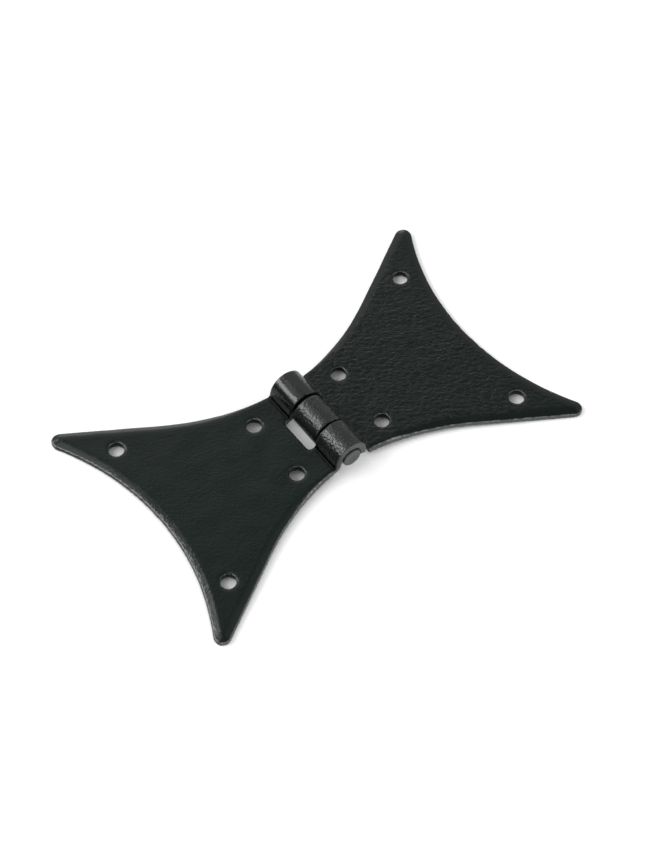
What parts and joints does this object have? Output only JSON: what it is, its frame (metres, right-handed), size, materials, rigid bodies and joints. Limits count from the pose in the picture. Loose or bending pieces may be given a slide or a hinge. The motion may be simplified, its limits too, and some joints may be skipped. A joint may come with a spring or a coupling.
{
  "type": "butterfly hinge",
  "caption": "Flat butterfly hinge of black coated sheet steel: flared leaves with screw holes and rolled, interleaved knuckles turning on a pin, for the face of a door and its frame.",
  "frame": {"origin": "centre of the back plane, below the middle of the pin", "axes": "+X across the pin towards the right leaf, +Y along the pin, +Z out of the front"},
  "size_m": [0.1264, 0.0826, 0.0087],
  "materials": {
    "leaf_coat": "black powder coat, satin, lightly wrinkled",
    "pin_coat": "black powder coat, thin over the steel pin"
  },
  "bodies": {
    "left_leaf": {"left_leaf": "leaf_coat"},
    "right_leaf": {"right_leaf": "leaf_coat", "hinge_pin": "pin_coat"}
  },
  "joints": [
    {"name": "leaf_hinge", "type": "hinge", "parent": "left_leaf", "child": "right_leaf", "pos_m": [0, 0, 0.0034], "axis": [0, -1, 0], "range_deg": [-115, 180]}
  ]
}
